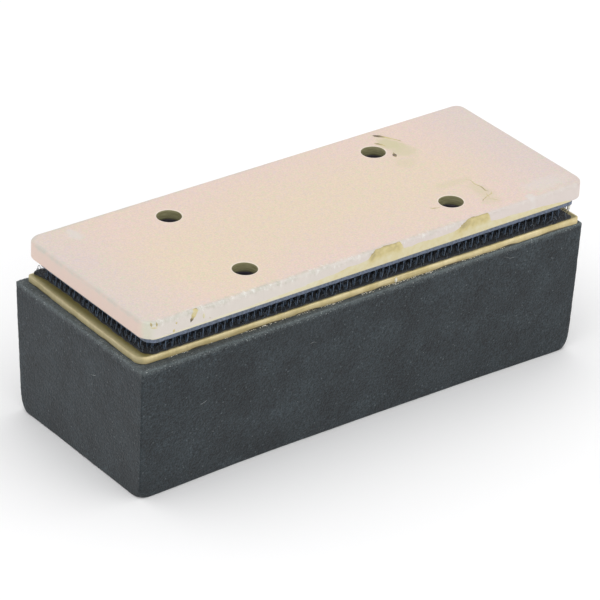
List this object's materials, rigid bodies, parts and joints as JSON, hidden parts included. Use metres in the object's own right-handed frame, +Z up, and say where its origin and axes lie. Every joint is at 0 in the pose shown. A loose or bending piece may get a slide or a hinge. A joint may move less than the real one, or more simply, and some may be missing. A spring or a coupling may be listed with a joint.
{
  "type": "sanding block",
  "caption": "Oblong sanding block: a drilled steel plate on a dense black foam pad, joined by hook and loop tape, for screwing under a sanding tool.",
  "frame": {"origin": "under the middle of the whole block, on the plane of the foam's sanding face", "axes": "+X along the block's long side, +Y across it, +Z up from the sanding face through the screw holes of the plate"},
  "size_m": [0.108, 0.0418, 0.0379],
  "materials": {
    "black_foam": "fine closed cells, cut faces, matt",
    "laminate_board": "cream resin-bonded laminate, satin with sawn edges",
    "loop_nylon": "black looped nylon pile on a knitted base",
    "hook_nylon": "black moulded nylon, glossy edge",
    "contact_adhesive": "dried amber to cream adhesive",
    "zinc_plated_steel": "zinc plated with pale iridescent passivation"
  },
  "bodies": {
    "pad": {"foam_block": "black_foam", "foam_adhesive": "contact_adhesive", "backing_board": "laminate_board", "tape_adhesive": "contact_adhesive", "loop_tape": "loop_nylon", "loop_pile": "loop_nylon"},
    "plate": {"mounting_plate": "zinc_plated_steel", "plate_adhesive": "contact_adhesive", "hook_tape": "hook_nylon", "hook_stems": "hook_nylon"}
  },
  "joints": [
    {"name": "plate_lift", "type": "slide", "parent": "pad", "child": "plate", "axis": [0, 0, 1], "range_m": [0, 0.02]}
  ]
}
